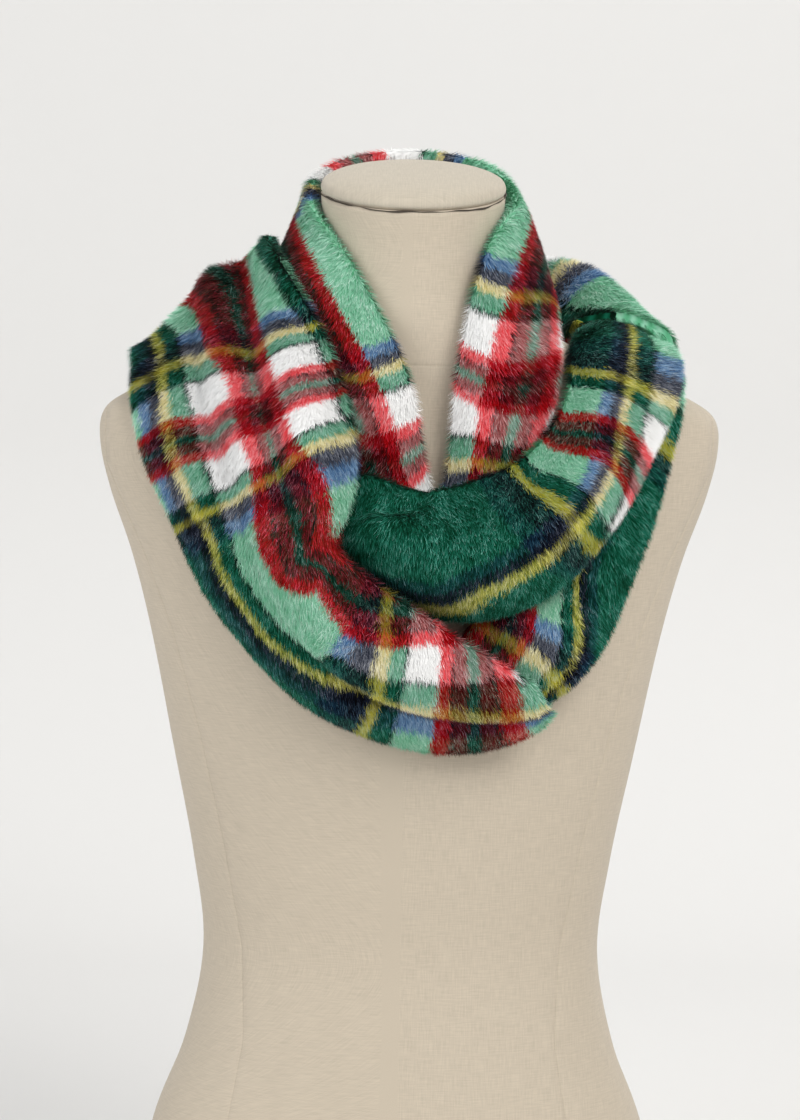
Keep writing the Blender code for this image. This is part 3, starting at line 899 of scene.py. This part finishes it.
# Strands rooted on the tube's outside. A cell gets strands by its area, and a strand is a long thin
# triangle that leans over the cloth along the nap, from its root to its tip.
def growPile(piece, ring, seed):
    rng = np.random.default_rng(seed)
    place = ring["place"]
    count, size = place.shape[:2]
    rows = count if piece["closed"] else count - 1
    i, j = [index.ravel() for index in np.meshgrid(np.arange(rows), np.arange(size), indexing="ij")]
    corners = [(i, j), ((i + 1) % count, j), ((i + 1) % count, (j + 1) % size), (i, (j + 1) % size)]
    diagonals = place[corners[2]] - place[corners[0]], place[corners[3]] - place[corners[1]]
    area = np.linalg.norm(np.cross(*diagonals), axis=1) / 2
    weight = area * (ring["density"][corners[0]] + ring["density"][corners[3]]) / 2
    strands = piece["strands"] // 1
    draws = (np.arange(strands) + rng.random(strands)) / strands
    cells = np.searchsorted(np.cumsum(weight) / weight.sum(), draws).clip(0, len(i) - 1)
    a, b = rng.random((2, strands, 1))
    shares = [(1 - a) * (1 - b), a * (1 - b), a * b, (1 - a) * b]

    def at(name):
        return sum(share * ring[name][x[cells], y[cells]] for share, (x, y) in zip(shares, corners))

    names = ("place", "normal", "along", "across", "cloth")
    root, normal, alongWay, acrossWay, cloth = (at(name) for name in names)
    if piece["closed"]:
        cloth[:, 0] += piece["wrap"] * a[:, 0] * (i[cells] == count - 1)
    cloth += rng.normal(size=cloth.shape) * pile["jitter"] / repeat
    normal, alongWay, acrossWay = unit(normal), unit(alongWay), unit(acrossWay)
    metres = cloth * repeat
    tuft = (np.floor(metres / np.array(pile["tuft"])) * np.array(pile["tuftNumber"])).sum(axis=1)
    napAlong, napAcross = piece["nap"]
    swirl = softNoise(root, pile["swirlSize"], seed + 1) * pile["swirl"]
    alike = [(hashed(tuft, k) - 0.5) * 2 * pile["tuftSpread"] for k in (1, 2, 3)]
    own = rng.normal(size=(3, strands)) * pile["strandSpread"]
    lay = (
        alongWay * (napAlong + swirl + alike[0] + own[0])[:, None]
        + acrossWay * (napAcross - swirl * 0.5 + alike[1] + own[1])[:, None]
    )
    lay[:, 2] -= pile["droop"]
    lay -= normal * (lay * normal).sum(axis=1, keepdims=True)
    if not piece["closed"]:
        fromEnd = np.minimum(i[cells], count - 1 - i[cells])
        nearEnd = np.clip(1 - fromEnd / pile["leanRows"], 0, 1)
        outwards = np.where(i[cells] < count / 2, -1.0, 1.0) * nearEnd
        lay += alongWay * (pile["endLean"] * outwards)[:, None]
    lay = unit(lay)
    length = rng.uniform(*pile["length"], strands)[:, None]
    riseChance = (alike[2] / pile["tuftSpread"] + own[2] / pile["strandSpread"]) / 2
    rise = np.clip(pile["rise"] + pile["riseSpread"] * riseChance, *pile["riseLimits"])
    way = unit(lay + normal * rise[:, None])
    tip = root + way * length
    twist = rng.normal(size=(strands, 3)) * pile["twist"]
    halfWidth = pile["width"] / 2 * rng.uniform(*pile["widthSpread"], (strands, 1))
    side = unit(np.cross(lay, normal) + twist) * halfWidth
    points = np.stack([root - side, root + side, tip], axis=1)
    facing = unit(np.cross(side, way))
    shading = unit(normal * pile["softNormal"] + facing * (1 - pile["softNormal"]))
    middle, byTuft, byChance, byPatch = pile["shade"]
    shade = middle + byTuft * (hashed(tuft, 5) - 0.5) + byChance * (rng.random(strands) - 0.5)
    shade += byPatch * softNoise(root, pile["patchSize"], seed + 2)
    # the roots are darkened as painted shade deep in the pile, and the tip is paled as painted
    # light
    toneAndShade = np.clip(shade[:, None] * np.array(pile["rootShadeTipLight"]), 0, pile["toneLimit"])
    made = []
    pieces = int(np.ceil(strands / pile["perPiece"]))
    for index, chosen in enumerate(np.array_split(np.arange(strands), pieces)):
        total = len(chosen)
        faces = [np.arange(3 * total).reshape(-1, 3)]
        ending = "_pile" if pieces == 1 else f"_pile_{index + 1}"
        strandPoints = points[chosen].reshape(-1, 3)
        fur = meshObject(piece["node"] + ending, strandPoints, faces, plushMaterial)
        cornerMap(fur, "plaid", np.repeat(cloth[chosen], 3, axis=0), faces)
        # the bake's own map: a square cell for each strand
        cellsWide = int(np.ceil(total**0.5))
        order = np.arange(total)
        cell = np.stack([order % cellsWide, order // cellsWide], axis=1)[:, None]
        places = (cell + np.array(pile["bakeCorners"])) / cellsWide
        cornerMap(fur, "OFBake", places.reshape(-1, 2), faces)
        pointToneAndShade(fur, toneAndShade[chosen].ravel())
        fur.data.normals_split_custom_set_from_vertices(np.repeat(shading[chosen], 3, axis=0))
        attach(fur, "root")
        made.append(fur)
    return made


# Each stretch in turn: its middle surface, the tube of cloth round that, and the pile on the tube.
def makeStretches():
    laid = []
    for order, piece in enumerate(stretches):
        below = [laid[k] for k in piece["over"]]
        coarse = middleSurface(piece, below)
        laid.append(laidBed(coarse, piece))
        closed = piece["closed"]
        alongLength = np.linalg.norm(np.diff(coarse, axis=0), axis=2).sum(axis=0).mean()
        acrossLength = np.linalg.norm(np.diff(coarse, axis=1), axis=2).sum(axis=1).mean()
        if closed:
            alongLength *= len(coarse) / (len(coarse) - 1)
        countAlong = int(alongLength / wall["cell"])
        countAcross = int(acrossLength / wall["cell"])
        surface = refine(coarse, closed, countAlong, countAcross)
        along = np.arange(countAlong) / countAlong if closed else np.linspace(0, 1, countAlong)
        across = np.linspace(0, 1, countAcross)
        normals = gridNormals(surface, closed)[0]
        surface = surface + normals * foldRelief(piece["creases"], along, across)[:, :, None]
        ring = tubeRing(piece, surface, along, across)
        size = ring["place"].shape[1]
        points = ring["place"].reshape(-1, 3)
        cloth = ring["cloth"].reshape(-1, 2)
        faces = [ringFaces(countAlong, size, closed)]
        if not closed:
            middles, fans = endFaces(ring["place"], countAlong)
            points = np.concatenate([points, middles])
            ends = [ring["cloth"][k].mean(axis=0)[None] for k in (0, -1)]
            cloth = np.concatenate([cloth, *ends])
            faces.append(fans)
        shell = meshObject(piece["node"] + "_cloth", points, faces, plushMaterial)
        cornerMap(shell, "plaid", cloth, faces, piece["wrap"] if closed else 0, size)
        # the cloth under the pile gets a low tone, which paints the shade deep in the pile
        pointToneAndShade(shell, np.full(len(points), pile["clothPaintedShade"]))
        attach(shell, "root")
        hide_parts(piece["node"])
        fur = growPile(piece, ring, 10 * (order + 1))


makeStretches()


# Linen

linen = dict(
    threadPitch=0.55 * mm,
    slubScale=90,
    slubStretch=14.0,
    slubDetail=4,
    slubRange=(0.36, 0.64),  # the noise from its darkest to its palest colour
    darker=0.90,
    paler=1.08,
    weaveShare=0.5,
    bump=0.12,
    bumpDistance=0.4 * mm,
    finish={"Roughness": 0.88, "Specular IOR Level": 0.2, "Sheen Weight": 0.12},
)


# Plain weave: two sets of fine waves a thread apart, in the form's own map of metres round and up,
# and long soft slubs both ways that change the colour a little.
def makeLinen(name, colour):
    material, nodes, links, shader = newMaterial(name, linen["finish"])
    clothMap = nodes.new("ShaderNodeUVMap")
    clothMap.uv_map = "linen"
    parts = nodes.new("ShaderNodeSeparateXYZ")
    links.new(clothMap.outputs["UV"], parts.inputs[0])
    threads = []
    for axis in ("X", "Y"):
        perMetre = 2 * pi / linen["threadPitch"]
        turns = mathNode(nodes, links, "MULTIPLY", parts.outputs[axis], perMetre)
        threads.append(mathNode(nodes, links, "SINE", turns))
    weave = mathNode(nodes, links, "MULTIPLY", threads[0], threads[1])
    slubs = []
    for stretch in ((1.0, linen["slubStretch"], 1.0), (linen["slubStretch"], 1.0, 1.0)):
        mapping = nodes.new("ShaderNodeMapping")
        mapping.inputs["Scale"].default_value = stretch
        links.new(clothMap.outputs["UV"], mapping.inputs["Vector"])
        noise = nodes.new("ShaderNodeTexNoise")
        noise.inputs["Scale"].default_value = linen["slubScale"]
        noise.inputs["Detail"].default_value = linen["slubDetail"]
        links.new(mapping.outputs[0], noise.inputs["Vector"])
        slubs.append(noise.outputs["Fac"])
    slub = mathNode(nodes, links, "ADD", slubs[0], slubs[1])
    slub = mathNode(nodes, links, "MULTIPLY", slub, 0.5)
    ramp = nodes.new("ShaderNodeValToRGB")
    dark = [c * linen["darker"] for c in colour]
    pale = [min(1.0, c * linen["paler"]) for c in colour]
    for element, place, shown in zip(ramp.color_ramp.elements, linen["slubRange"], (dark, pale)):
        element.position = place
        element.color = (*shown, 1)
    links.new(slub, ramp.inputs[0])
    links.new(ramp.outputs["Color"], shader.inputs["Base Color"])
    height = mathNode(nodes, links, "MULTIPLY_ADD", weave, linen["weaveShare"], slub)
    bump = nodes.new("ShaderNodeBump")
    bump.inputs["Strength"].default_value = linen["bump"]
    bump.inputs["Distance"].default_value = linen["bumpDistance"]
    links.new(height, bump.inputs["Height"])
    links.new(bump.outputs[0], shader.inputs["Normal"])
    return material


# A superellipse: x is the half width times |cos| to two over the squareness, y likewise with the
# sine and the front or back depth.
def outlinePoint(rows, angles):
    width, front, back, power = (rows[:, column][:, None] for column in (1, 2, 3, 4))
    c, s = np.cos(angles), np.sin(angles)
    x = width * np.sign(c) * np.abs(c) ** (2 / power)
    y = np.where(s < 0, front, back) * np.sign(s) * np.abs(s) ** (2 / power)
    return x, y


# Angle at which the outline stands as far out as the seam does at that height.
def seamAngle(rows, line):
    heights, outs = np.array(line, dtype=float).T * mm
    out = np.interp(rows[:, 0], heights, outs)
    share = np.clip(out / rows[:, 1], 0, form["seamReach"])
    return np.arccos(share ** (rows[:, 4] / 2))


# A superellipse at each height, with its points gathered at the seams. The neck is tilted by adding
# the depth times the tilt's slope to the height, and the seams are sunk along the normals.
def makeForm():
    places = np.linspace(0, len(form["sections"]) - 1, form["rows"])
    rows = formRows(places)
    step = form["seamHalfWidth"]
    extra = form["neckSeam"] + step * np.array(form["seamStations"])
    apart = np.abs(rows[:, 0] - form["neckSeam"]) > 2 * step
    heights = np.sort(np.concatenate([rows[apart, 0], extra]))
    sizes = [np.interp(heights, formTable[:, 0], formTable[:, k]) for k in (1, 2, 3, 4)]
    rows = np.stack([heights] + sizes, axis=1)
    front, back = seamAngle(rows, form["frontSeam"]), seamAngle(rows, form["backSeam"])
    zero = np.zeros(len(rows))
    # round the form from the front middle: seam, side, seam, back middle, and the mirror of it
    lines = [
        zero - pi / 2, -front, zero, back, zero + pi / 2, pi - back, zero + pi, pi + front,
        zero + 1.5 * pi,
    ]
    seams = {1, 3, 5, 7}
    columns, depths = [], []
    for k, (low, high) in enumerate(zip(lines[:-1], lines[1:])):
        for n in range(form["columns"]):
            share = n / form["columns"]
            columns.append(low + (high - low) * share)
            depths.append(1.0 if n == 0 and k in seams else 0.0)
            if n == 0 and k in seams:
                near = step / rows[:, 1]
                columns[-1:] = [low + station * near for station in form["seamStations"]]
                depths[-1:] = form["seamProfile"]
    angles = np.stack(columns, axis=1)
    order = np.argsort(angles, axis=1)
    angles = np.take_along_axis(angles, order, axis=1)
    depth = np.take_along_axis(np.broadcast_to(depths, angles.shape), order, axis=1)
    fromNeckSeam = rows[:, 0] - form["neckSeam"]
    acrossNeck = np.exp(-((fromNeckSeam / (form["neckSeamSoft"] * step)) ** 2))
    depth = np.maximum(depth * (rows[:, 0] < form["seamsEnd"])[:, None], acrossNeck[:, None])
    x, y = outlinePoint(rows, angles)
    share = np.clip((rows[:, 0] - form["neckStart"]) / (rows[-1, 0] - form["neckStart"]), 0, 1)
    z = rows[:, 0][:, None] + tan(radians(form["neckTilt"])) * share[:, None] * y
    surface = np.stack([x, y, z], axis=2)
    alongWay = np.roll(surface, -1, axis=1) - np.roll(surface, 1, axis=1)
    upWay = np.gradient(surface, axis=0)
    normals = unit(np.cross(alongWay, upWay))
    surface = surface - normals * (depth * form["seamDepth"])[:, :, None]
    count, size = surface.shape[:2]
    faces = [ringFaces(count, size, False)]
    middles, fans = endFaces(surface, count)
    steps = np.linalg.norm(np.diff(surface, axis=1, append=surface[:, :1]), axis=2)
    around = np.cumsum(steps, axis=1) - steps
    up = np.cumsum(np.linalg.norm(np.gradient(surface, axis=0), axis=2).mean(axis=1))
    cloth = np.stack([around, np.broadcast_to(up[:, None], around.shape)], axis=2).reshape(-1, 2)
    points = np.concatenate([surface.reshape(-1, 3), middles])
    cloth = np.concatenate([cloth, np.zeros((2, 2))])
    faces.append(fans)
    cover = makeLinen("linen", form["linenColour"])
    body = meshObject("form_body_linen", points, faces, cover)
    cornerMap(body, "linen", cloth, faces)
    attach(body, "root")
    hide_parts("form_body")


# Rings of the neck's outline, scaled and raised by the splined ring table.
def makeCap():
    neck = formRows([len(form["sections"]) - 1])
    rings = splineRows(cap["rings"], np.linspace(0, len(cap["rings"]) - 1, cap["rows"]))
    rows = np.repeat(neck, len(rings), axis=0)
    rows[:, 1:4] *= rings[:, :1]
    angles = np.linspace(0, 2 * pi, cap["columns"], endpoint=False)[None, :]
    x, y = outlinePoint(rows, angles)
    z = rows[:, 0][:, None] + cap["gap"] + cap["rise"] * rings[:, 1:]
    z = z + tan(radians(form["neckTilt"])) * y
    surface = np.stack([x, y, z], axis=2)
    faces = [ringFaces(len(rings), cap["columns"], False)]
    middles, fans = endFaces(surface, len(rings))
    middles[1, 2] += cap["crown"]
    points = np.concatenate([surface.reshape(-1, 3), middles])
    faces.append(fans)
    cover = makeLinen("capLinen", cap["linenColour"])
    top = meshObject("form_neck_cap_linen", points, faces, cover)
    cornerMap(top, "linen", points[:, :2], faces)
    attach(top, "root")
    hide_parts("form_neck_cap")


seamAndShadow = dict(
    # the hand-sewn line under the cap, near black as painted shadow of the gap there: waves as
    # height in mm, turns round the neck, start
    waves=[(0.55, 2, 0.6), (0.40, 5, 2.1), (0.22, 11, 0.3), (0.12, 23, 1.4)],
    radius=0.42 * mm,
    thin=[(0.45, 7, 1.0), (0.30, 19, 2.6)],  # share, turns, start
    out=0.1 * mm,
    steps=480,
    sides=6,
    # its near black is partly the thread's own colour and partly painted shadow of the gap under
    # the cap
    finish={"Base Color": (0.050, 0.038, 0.028, 1), "Roughness": 0.9},
)


# A dark thread round the neck's top, partly the sewn seam and partly painted shadow of the gap
# under
# the cap: a tube whose height and thickness are sums of sine waves of the angle.
def makeSeamAndShadow():
    neck = formRows([len(form["sections"]) - 1])
    angles = np.linspace(0, 2 * pi, seamAndShadow["steps"], endpoint=False)[None, :]
    x, y = outlinePoint(neck, angles)
    angles, x, y = angles[0], x[0], y[0]
    sway, swell = (
        sum(size * np.sin(turns * angles + start) for size, turns, start in seamAndShadow[name])
        for name in ("waves", "thin")
    )
    z = neck[0, 0] + tan(radians(form["neckTilt"])) * y + sway * mm
    radius = seamAndShadow["radius"] * (1 + swell)
    centre = np.stack([x, y, z], axis=1)
    outwards = unit(np.stack([x, y, 0 * z], axis=1))
    centre = centre + outwards * seamAndShadow["out"]
    around = np.linspace(0, 2 * pi, seamAndShadow["sides"], endpoint=False)[None, :, None]
    level = np.array([0, 0, 1.0])
    spoke = np.cos(around) * outwards[:, None] - np.sin(around) * level
    surface = centre[:, None] + radius[:, None, None] * spoke
    faces = [ringFaces(seamAndShadow["steps"], seamAndShadow["sides"], True)]
    material = newMaterial("seamThreadAndShadow", seamAndShadow["finish"])[0]
    # the thread also paints the shadow in the gap under the cap
    thread = meshObject("form_neck_cap_seam_shadow", surface.reshape(-1, 3), faces, material)
    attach(thread, "root")


makeForm()
makeCap()
makeSeamAndShadow()
print("dress form done")


# Floor and backdrop in one sweep

stage = dict(
    width=6.0,
    front=-3.0,
    wallAt=1.6,
    bend=0.5,
    bendRows=24,
    height=3.4,
    under=0.5 * mm,
    finish={"Base Color": (0.755, 0.75, 0.74, 1), "Roughness": 0.95},
)


# Floor, quarter circle and wall: the profile is carried sideways.
def makeStage():
    turn = np.linspace(0, pi / 2, stage["bendRows"])
    bendStart, bend = stage["wallAt"] - stage["bend"], stage["bend"]
    y = np.concatenate([[stage["front"]], bendStart + bend * np.sin(turn), [stage["wallAt"]]])
    z = np.concatenate([[0], bend * (1 - np.cos(turn)), [stage["height"]]]) - stage["under"]
    half = stage["width"] / 2
    edges = [np.stack([np.full(len(y), x), y, z], axis=1) for x in (-half, half)]
    points = np.stack(edges, axis=1)
    index = 2 * np.arange(len(y) - 1)[:, None]
    faces = index + np.array([0, 1, 3, 2])
    material, nodes, links, shader = newMaterial("paleWall", stage["finish"])
    # seen from behind, the wall lets the view through
    facing = nodes.new("ShaderNodeNewGeometry")
    clear = nodes.new("ShaderNodeBsdfTransparent")
    either = nodes.new("ShaderNodeMixShader")
    links.new(facing.outputs["Backfacing"], either.inputs[0])
    links.new(shader.outputs[0], either.inputs[1])
    links.new(clear.outputs[0], either.inputs[2])
    links.new(either.outputs[0], nodes["Material Output"].inputs["Surface"])
    meshObject("backdrop", points.reshape(-1, 3), faces, material)


makeStage()
print("stage done")
